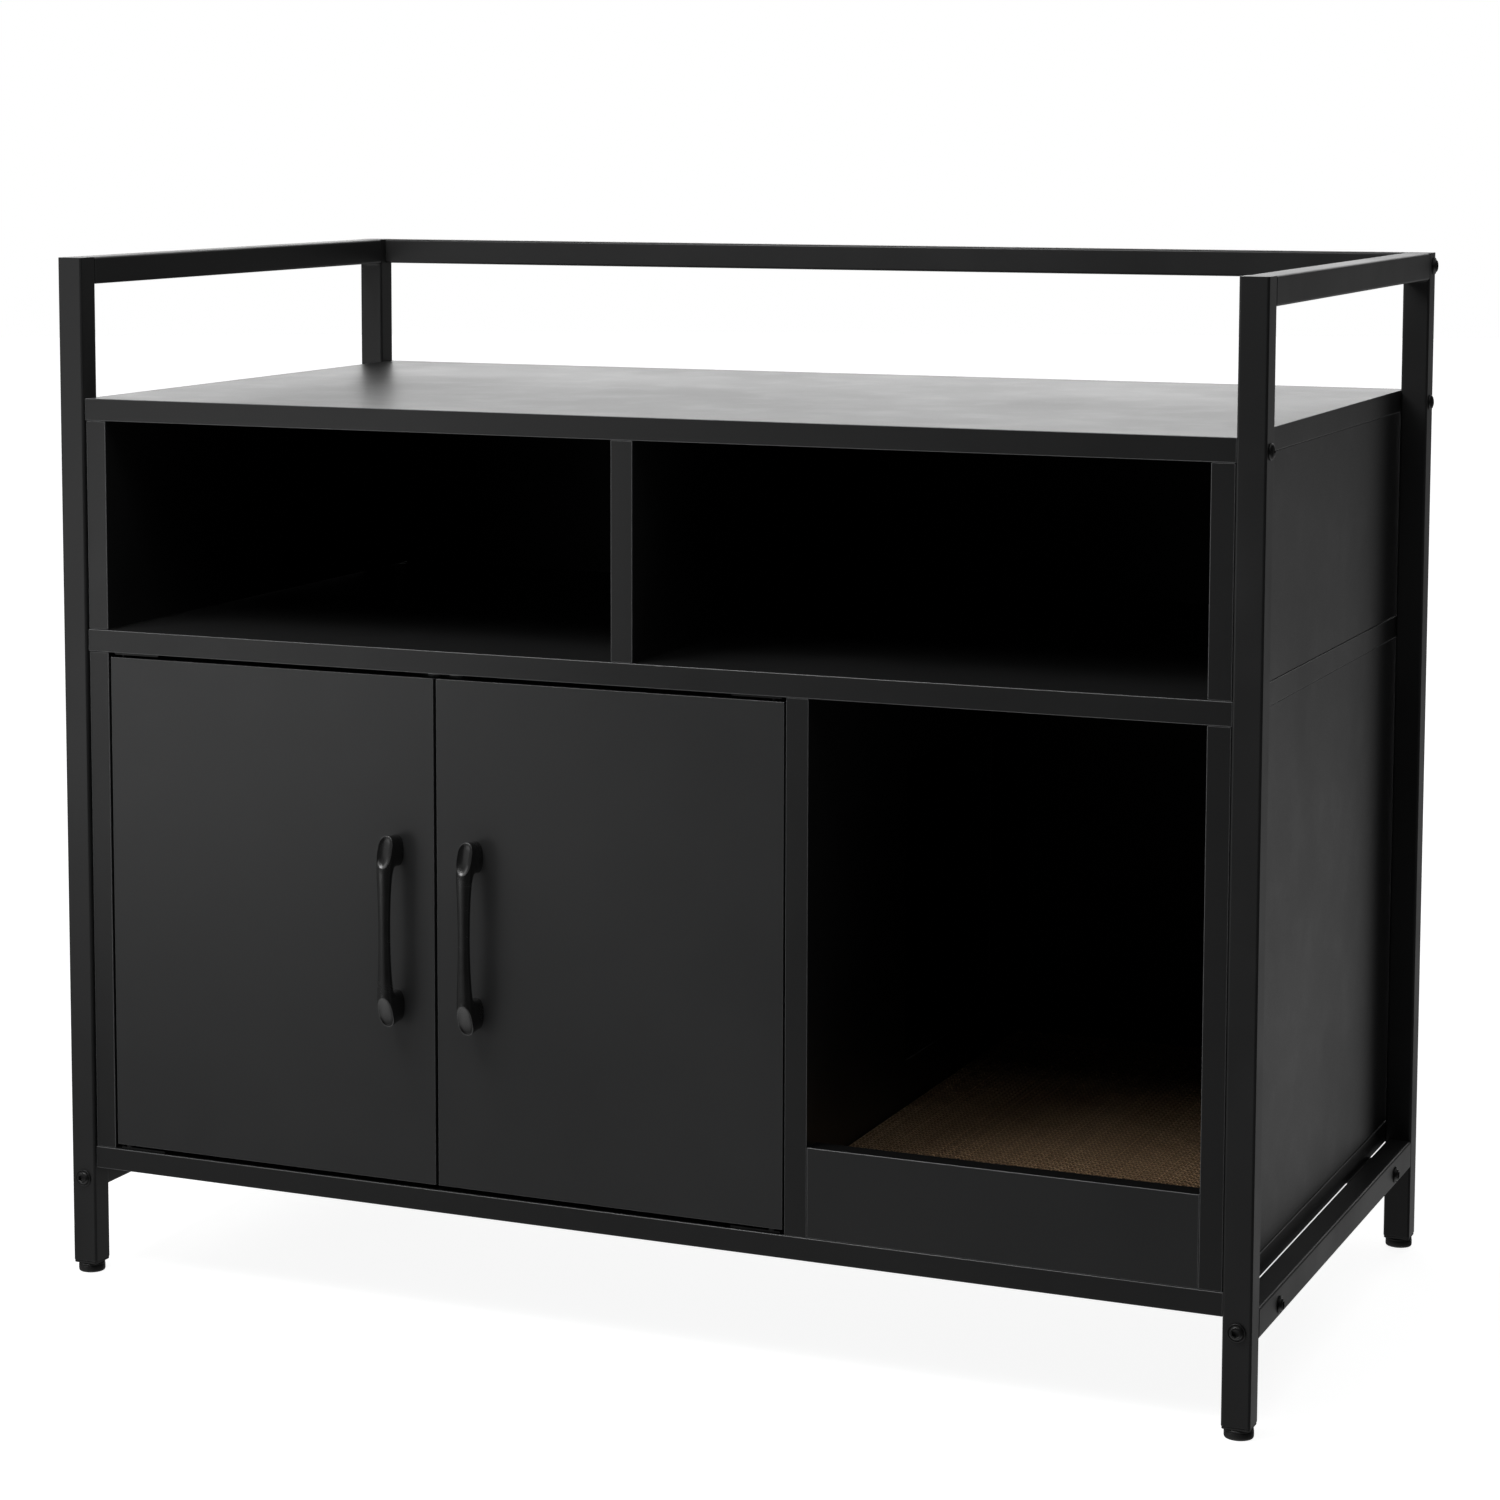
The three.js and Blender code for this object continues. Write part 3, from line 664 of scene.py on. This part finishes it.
def cross_screw(name, node, body, origin, axis, R, H, length):
    """A round head with a cross recess, as on the side faces."""
    bm = bmesh.new()
    prof = [(0, -length), (1.2, -length + 0.6), (2.8, -length + 4.0)]
    prof += thread(3.0, 2.4, -length + 4.2, -length + 24.0, 1.5)
    prof += [(3.0, -length + 24.4), (3.0, -0.3), (3.2, 0.0)]
    dome = [(R * math.cos(a), 0.45 + (H - 0.45) * math.sin(a)) for a in [i * math.pi / 2 / 9 for i in range(9)]]
    prof += [(R - 0.2, 0.0)] + dome + [(0.0, H)]
    turned(bm, origin, axis, prof, 36)
    o = finish_mesh(bm, name, body, [MAT["bolt_black"]], 38.0)
    # The recess is cut by a four-pointed tapered star.
    a, u, v = frame_of(axis)
    cb = bmesh.new()
    rings = []
    for h, s in ((H - 1.9, 0.42), (H - 0.2, 0.92), (H + 0.8, 1.12)):
        pts = []
        for i in range(12):
            q, w = divmod(i, 3)
            base = q * math.pi / 2
            if w == 0:
                x, y = 2.75 * s, -0.52
            elif w == 1:
                x, y = 2.75 * s, 0.52
            else:
                x, y = 0.72, 0.72
            c, sn = math.cos(base), math.sin(base)
            x, y = x * c - y * sn, x * sn + y * c
            pts.append(origin + a * (h / 1000.0) + (u * x + v * y) / 1000.0)
        rings.append(pts)
    ring_loft(cb, rings)
    bmesh.ops.recalc_face_normals(cb, faces=cb.faces[:])
    cme = bpy.data.meshes.new("recess_tool")
    cb.to_mesh(cme)
    cb.free()
    tool = bpy.data.objects.new("recess_tool", cme)
    scene.collection.objects.link(tool)
    mod = o.modifiers.new("recess", "BOOLEAN")
    mod.object = tool
    mod.operation = "DIFFERENCE"
    mod.solver = "EXACT"
    # Both are at rest in the same frame; the cut is applied at once.
    tool.matrix_world = o.matrix_world.copy() @ o.matrix_world.inverted()
    bpy.context.view_layer.update()
    dg = bpy.context.evaluated_depsgraph_get()
    me = bpy.data.meshes.new_from_object(o.evaluated_get(dg))
    o.modifiers.clear()
    o.data = me
    me.polygons.foreach_set("use_smooth", [True] * len(me.polygons))
    me.set_sharp_from_angle(angle=math.radians(34))
    bpy.data.objects.remove(tool)
    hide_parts(node)
    return o


W, D, T = 1000.0, 540.0, 22.0
for side, cx, face, out in (("left", T / 2, 0.0, (-1, 0, 0)), ("right", W - T / 2, W, (1, 0, 0))):
    socket_bolt(f"front_{side}_rail_bolt_visual", f"front_{side}_rail_bolt", "cabinet", P(cx, 0.0, 81.0), (0, -1, 0), 7.0, 3.1, 34.0)
    socket_bolt(f"rear_{side}_rail_bolt_visual", f"rear_{side}_rail_bolt", "cabinet", P(cx, D, 81.0), (0, 1, 0), 7.0, 3.1, 34.0)
    socket_bolt(f"rear_{side}_top_rail_bolt_visual", f"rear_{side}_top_rail_bolt", "cabinet", P(face, D - 7.0, 833.0), out, 7.0, 3.1, 34.0)
    for where, y in (("front", 80.0), ("rear", 460.0)):
        socket_bolt(f"{where}_{side}_cross_bolt_visual", f"{where}_{side}_cross_bolt", "cabinet", P(face, y, 80.3), out, 6.6, 3.0, 34.0)
    for where, y in (("front", 11.0), ("rear", 529.0)):
        cross_screw(f"{where}_{side}_board_screw_visual", f"{where}_{side}_board_screw", "cabinet", P(face, y, 720.0), out, 6.2, 3.2, 40.0)

# ---------------------------------------------------------- levelling feet
for where, (x, y) in {"front_left": (0, 0), "front_right": (W - T, 0), "rear_left": (0, D - T), "rear_right": (W - T, D - T)}.items():
    bm = bmesh.new()
    prof = [
        (0, 0.25), (6.5, 0.25), (7.0, 0.0), (9.6, 0.0), (10.45, 0.30), (10.9, 1.0), (11.0, 1.9),
        (11.0, 5.3), (10.9, 5.55), (10.62, 5.65), (10.62, 5.85), (10.85, 5.95), (10.85, 6.9), (10.5, 7.4), (9.6, 7.6),
        (4.4, 7.6), (3.75, 8.1),
    ]
    prof += thread(3.8, 3.2, 8.6, 36.6, 1.25)
    prof += [(3.3, 37.2), (2.6, 38.0), (0, 38.0)]
    turned(bm, P(x + T / 2, y + T / 2, 0.0), (0, 0, 1), prof, 48)
    o = finish_mesh(bm, f"{where}_levelling_foot", f"{where}_foot_body", [MAT["foot_plastic"]], 30.0)
    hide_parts(f"{where}_foot")


# ---------------------------------------- ground welds at the top rail's ends
def weld_ring(name, x0, y0, y1, z0, z1, width=22.0, proud=0.06):
    """Fills the joint between a post and the tube butted to it, flush with both."""
    bm = bmesh.new()
    r0 = 2.0
    rings = []
    for y, p in ((y0 - 0.5, -0.30), (y0 - 0.35, proud * 0.4), (y0, proud), (y1, proud), (y1 + 0.35, proud * 0.4), (y1 + 0.5, -0.30)):
        pts = []
        cx, cz = x0 + width / 2, (z0 + z1) / 2
        a, b = width / 2 + p, (z1 - z0) / 2 + p
        for qx, qz, start in ((1, 1, 0), (-1, 1, 90), (-1, -1, 180), (1, -1, 270)):
            for k in range(6):
                th = math.radians(start + k * 18)
                pts.append(P(cx + qx * (a - r0) + r0 * math.cos(th), y, cz + qz * (b - r0) + r0 * math.sin(th)))
        rings.append(pts)
    inner = []
    for y in (y1 + 0.5, y0 - 0.5):
        pts = []
        cx, cz = x0 + width / 2, (z0 + z1) / 2
        a, b = width / 2 - 1.6, (z1 - z0) / 2 - 1.6
        for qx, qz, start in ((1, 1, 0), (-1, 1, 90), (-1, -1, 180), (1, -1, 270)):
            for k in range(6):
                th = math.radians(start + k * 18)
                pts.append(P(cx + qx * (a - 0.6) + 0.6 * math.cos(th), y, cz + qz * (b - 0.6) + 0.6 * math.sin(th)))
        inner.append(pts)
    made = ring_loft(bm, rings + inner, False, False)
    a, b = made[-1], made[0]
    n = len(a)
    for i in range(n):
        bm.faces.new((a[i], a[(i + 1) % n], b[(i + 1) % n], b[i]))
    return finish_mesh(bm, name, "cabinet", [MAT["frame_coat"]], 60.0)


def weld_fillet(name, x0, y, direction, z):
    """The small radius of weld under the rail, in the corner with the post."""
    bm = bmesh.new()
    prof = [(0.0, 0.0), (3.2, 0.0), (2.2, -0.12), (1.35, -0.45), (0.78, -0.9), (0.4, -1.5), (0.1, -2.4), (0.0, -3.2)]
    rings = []
    for k in range(11):
        x = x0 + 1.6 + k * (22.0 - 3.2) / 10
        s = 0.8 + 0.2 * math.sin(math.pi * k / 10) + 0.04 * math.sin(k * 2.1)
        if k in (0, 10):
            s *= 0.35
        rings.append([P(x, y + direction * py * s, z + pz * s) for py, pz in prof])
    ring_loft(bm, rings)
    return finish_mesh(bm, name, "cabinet", [MAT["frame_coat"]], 50.0)


for side, x0 in (("left", 0.0), ("right", W - T)):
    weld_ring(f"{side}_top_rail_front_weld", x0, 22.0, 22.3, 822.0, 844.0)
    weld_ring(f"{side}_top_rail_rear_weld", x0, 517.7, 518.0, 822.0, 844.0)
    weld_fillet(f"{side}_top_rail_front_fillet", x0, 22.0, 1, 822.0)
    weld_fillet(f"{side}_top_rail_rear_fillet", x0, 518.0, -1, 822.0)


# ------------------------------------------- small fittings on their carriers
def pan_head(bm, origin, axis, R, H, mat=0):
    prof = [(0, -0.2), (R, -0.2), (R, H * 0.35), (R * 0.93, H * 0.65), (R * 0.75, H * 0.88), (R * 0.45, H), (R * 0.34, H, 6), (R * 0.26, H - 0.8, 6), (0, H - 0.9)]
    turned(bm, origin, axis, prof, 36, mat)


for side, node_body, cx in (("left", "left_door_leaf", 304.6), ("right", "right_door_leaf", 374.6)):
    bm = bmesh.new()
    for dz in (-64.0, 64.0):
        pan_head(bm, P(cx, 21.0, 317.7 + dz), (0, 1, 0), 4.2, 2.2)
    finish_mesh(bm, f"{side}_pull_screws", node_body, [MAT["pivot_black"]], 36.0)

# The double magnet catch under the shelf, and the two plates that meet it.
bm = bmesh.new()
soft_box(bm, P(317, 23.0, 510.6), P(361, 36.0, 522.6), 0.0012)
soft_box(bm, P(313.5 + 4, 25.4, 520.4), P(364.5 - 4, 33.8, 522.6), 0.0008)
for x in (324.0, 343.0):
    soft_box(bm, P(x, 21.9, 512.0), P(x + 11.0, 23.6, 513.5), 0.0003, 2)
    soft_box(bm, P(x, 21.9, 518.9), P(x + 11.0, 23.6, 520.4), 0.0003, 2)
    soft_box(bm, P(x + 0.6, 22.4, 513.7), P(x + 10.4, 23.6, 518.7), 0.0003, 1)
for x in (339.0,):
    pan_head(bm, P(x, 29.5, 510.6), (0, 0, -1), 2.6, 1.0, 2)
o = finish_mesh(bm, "double_magnet_catch", "cabinet", [MAT["catch_plastic"], FERRITE, STEEL], 34.0)
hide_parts("magnet_catch")
for side, body, x in (("left", "left_door_leaf", 329.5), ("right", "right_door_leaf", 348.5)):
    bm = bmesh.new()
    soft_box(bm, P(x - 5.8, 20.95, 510.4), P(x + 5.8, 21.35, 517.6), 0.00015, 0, 2)
    turned(bm, P(x, 21.3, 514.0), (0, 1, 0), [(0, -0.1), (2.1, -0.1), (2.0, 0.06), (1.2, 0.1), (0, 0.02)], 24)
    finish_mesh(bm, f"{side}_strike_plate", body, [STEEL], 40.0)

# Countersunk screws in the pivot leaves.
for side, px, d, body in (("left", 52.7, 1, "left_door_leaf"), ("right", 624.4, -1, "right_door_leaf")):
    for end, z, ax in (("top", 521.1, -1), ("bottom", 110.5, 1)):
        bm = bmesh.new()
        for off in (14.0, 27.0):
            pan_head(bm, P(px + d * off, 11.0, z), (0, 0, ax), 2.9, 0.45)
        finish_mesh(bm, f"{side}_{end}_pivot_screws", "cabinet", [MAT["pivot_black"]], 36.0)

# ------------------------------------------------- the corrugated scratch pad
# Sheets of single-wall board stand on edge across the bay: flat liners with a
# wave of fluting between each two, cut square at the top.
def scratch_pad():
    rnd = random.Random(7)
    x0, x1, y0, y1, z0, z1 = 655.4, 957.7, 22.8, 507.2, 108.9, 159.6
    layers = 72
    pitch = (x1 - x0) / layers
    bm = bmesh.new()

    def plank(xc, t, top):
        pts = [(xc - t, y0), (xc + t, y0), (xc + t, y1), (xc - t, y1)]
        lo = [bm.verts.new(P(x, y, z0)) for x, y in pts]
        hi = [bm.verts.new(P(x, y, top)) for x, y in pts]
        fs = [lo[::-1], hi] + [[lo[i], lo[(i + 1) % 4], hi[(i + 1) % 4], hi[i]] for i in range(4)]
        for f in fs:
            bm.faces.new(f).material_index = 1

    for k in range(layers + 1):
        t = 0.24
        xc = min(max(x0 + k * pitch, x0 + t), x1 - t)
        plank(xc, t, z1 - 0.55 - rnd.random() * 0.10)
    flute = 7.1
    for k in range(layers):
        xc = x0 + (k + 0.5) * pitch
        amp = pitch / 2 - 0.24 - 0.16
        phase = (0.37 * k + 0.15 * rnd.random()) % 1.0
        top = z1 - 0.20 - rnd.random() * 0.10
        pts = []
        y = y0 + 0.1
        i = 0
        steps = int((y1 - y0 - 0.2) / (flute / 4))
        for i in range(steps + 1):
            y = y0 + 0.1 + i * flute / 4
            s = math.sin(2 * math.pi * (i / 4.0 + phase)) * 1.05
            s = max(-1.0, min(1.0, s))
            pts.append((xc + amp * s, y))
        th = 0.16
        rows = []
        for i, (x, y) in enumerate(pts):
            a = pts[max(i - 1, 0)]
            b = pts[min(i + 1, len(pts) - 1)]
            d = Vector((b[0] - a[0], b[1] - a[1])).normalized()
            nx, ny = -d.y * th, d.x * th
            # The crests are pressed down where they are glued to the liners.
            side = math.sin(2 * math.pi * (i / 4.0 + phase))
            j = (rnd.random() - 0.5) * 0.15 - 0.45 * side * side
            rows.append([
                bm.verts.new(P(x - nx, y - ny, z0)),
                bm.verts.new(P(x + nx, y + ny, z0)),
                bm.verts.new(P(x + nx, y + ny, top + j)),
                bm.verts.new(P(x - nx, y - ny, top + j)),
            ])
        bm.faces.new(rows[0][::-1])
        for a, b in zip(rows, rows[1:]):
            for i in range(4):
                bm.faces.new((a[i], a[(i + 1) % 4], b[(i + 1) % 4], b[i]))
        bm.faces.new(rows[-1])
    o = finish_mesh(bm, "corrugated_pad", "pad", [MAT["corrugated_card"], CARD_LINER], 50.0)
    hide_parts("scratch_pad")
    return o


scratch_pad()

# --------------------------------------------------------- floor and light
fm = bmesh.new()
rings = []
for r in (0.0, 0.6, 1.5, 3.0, 6.0, 14.0):
    if r == 0:
        rings.append([Vector((0, 0, 0))])
    else:
        rings.append([Vector((r * math.cos(2 * math.pi * i / 64), r * math.sin(2 * math.pi * i / 64), 0)) for i in range(64)])
ring_loft(fm, rings, False, False)
bmesh.ops.recalc_face_normals(fm, faces=fm.faces[:])
fme = bpy.data.meshes.new("floor")
fm.to_mesh(fme)
fm.free()
floor = bpy.data.objects.new("floor", fme)
scene.collection.objects.link(floor)
floor.location.z = -0.0002
ft = Tree("floor_pale")
fn = ft.noise(3.0, 3.0, 0.5)
ft.color(ft.ramp(fn, [(0.3, (0.49, 0.49, 0.488)), (0.7, (0.51, 0.51, 0.508))]))
ft.set(Roughness=0.9, Specular_IOR_Level=0.1)
# It glows a little, as a backlit sheet does, and more so far away, so that it meets the white ground.
ft.b.inputs["Emission Color"].default_value = (1.0, 1.0, 1.0, 1.0)
far = ft.nt.nodes.new("ShaderNodeVectorMath")
far.operation = "LENGTH"
ft.link(ft.co, far.inputs[0])
ft.link(ft.remap(far.outputs["Value"], 0.9, 2.4, 0.90, 1.02), ft.b.inputs["Emission Strength"])
fme.materials.append(ft.m)
floor.visible_glossy = False
floor.visible_diffuse = False
floor.visible_shadow = False


def direction(az, el):
    """az is measured from +Y towards +X, in degrees."""
    a, e = math.radians(az), math.radians(el)
    return (math.sin(a) * math.cos(e), math.cos(a) * math.cos(e), math.sin(e))


world = bpy.data.worlds.new("studio")
scene.world = world
world.use_nodes = True
wt = world.node_tree
wt.nodes.clear()
wo = wt.nodes.new("ShaderNodeOutputWorld")
tc = wt.nodes.new("ShaderNodeTexCoord")
lobes = [  # azimuth, elevation, full within, gone beyond (degrees), brightness
    (-20.0, 8.0, 8.0, 30.0, 1.98),     # bright cyclorama behind
    (8.0, 26.0, 4.0, 16.0, 1.1),       # its upper right, which the arrises catch
    (-115.0, 38.0, 5.0, 20.0, 1.5),    # a small high window, front left
    (-150.0, -32.0, 10.0, 38.0, 0.19), # low card, front left
    (12.0, -24.0, 6.0, 24.0, 0.262),   # pale ground, right rear
    (22.0, -8.0, 5.0, 22.0, 0.134),    # and above it
    (0.0, -90.0, 20.0, 70.0, 0.84),    # pale ground below
    (90.0, 5.0, 10.0, 50.0, 0.04),     # weak fills for the sides
    (-90.0, 5.0, 10.0, 50.0, 0.20),
]
total = None
for az, el, inner, outer, amp in lobes:
    dot = wt.nodes.new("ShaderNodeVectorMath")
    dot.operation = "DOT_PRODUCT"
    wt.links.new(tc.outputs["Generated"], dot.inputs[0])
    dot.inputs[1].default_value = direction(az, el)
    mr = wt.nodes.new("ShaderNodeMapRange")
    mr.interpolation_type = "SMOOTHSTEP"
    wt.links.new(dot.outputs["Value"], mr.inputs["Value"])
    mr.inputs["From Min"].default_value = math.cos(math.radians(outer))
    mr.inputs["From Max"].default_value = math.cos(math.radians(inner))
    mr.inputs["To Min"].default_value = 0.0
    mr.inputs["To Max"].default_value = amp
    if total is None:
        total = mr.outputs["Result"]
    else:
        add = wt.nodes.new("ShaderNodeMath")
        wt.links.new(total, add.inputs[0])
        wt.links.new(mr.outputs["Result"], add.inputs[1])
        total = add.outputs[0]
base = wt.nodes.new("ShaderNodeMath")
wt.links.new(total, base.inputs[0])
base.inputs[1].default_value = 0.004
bg = wt.nodes.new("ShaderNodeBackground")
bg.inputs["Color"].default_value = (1.0, 1.0, 1.0, 1.0)
wt.links.new(base.outputs[0], bg.inputs["Strength"])
white = wt.nodes.new("ShaderNodeBackground")
white.inputs["Color"].default_value = (1.0, 1.0, 1.0, 1.0)
white.inputs["Strength"].default_value = 1.0
lp = wt.nodes.new("ShaderNodeLightPath")
mixw = wt.nodes.new("ShaderNodeMixShader")
wt.links.new(lp.outputs["Is Camera Ray"], mixw.inputs[0])
wt.links.new(bg.outputs[0], mixw.inputs[1])
wt.links.new(white.outputs[0], mixw.inputs[2])
wt.links.new(mixw.outputs[0], wo.inputs[0])


def area(name, loc, target, w, h, power, spec=1.0, diff=1.0):
    d = bpy.data.lights.new(name, "AREA")
    d.shape = "RECTANGLE"
    d.size, d.size_y = w, h
    d.energy = power
    d.specular_factor = spec
    d.diffuse_factor = diff
    o = bpy.data.objects.new(name, d)
    scene.collection.objects.link(o)
    o.location = loc
    o.rotation_euler = (Vector(target) - Vector(loc)).to_track_quat("-Z", "Y").to_euler()
    o.visible_camera = False
    return o


area("key_top", (-0.55, -1.0, 1.9), (0.1, -0.2, 0.2), 0.8, 0.8, 14.8)
area("key_left", (-1.15, -1.75, 0.85), (-0.25, -0.26, 0.40), 1.1, 0.9, 1.35)
area("key_low", (-1.2, -1.5, 0.30), (-0.3, -0.26, 0.3), 0.8, 0.5, 1.28)
area("front_top", (0.30, -1.2, 1.9), (0.2, -0.2, 0.2), 0.8, 0.8, 3.4)
area("floor_wash", (0.2, 0.0, 3.2), (0.2, 0.0, 0.0), 4.0, 4.0, 30.0, 0.3)

scene.view_settings.view_transform = "Standard"
scene.view_settings.look = "None"
scene.view_settings.exposure = 0.0
scene.view_settings.gamma = 1.0
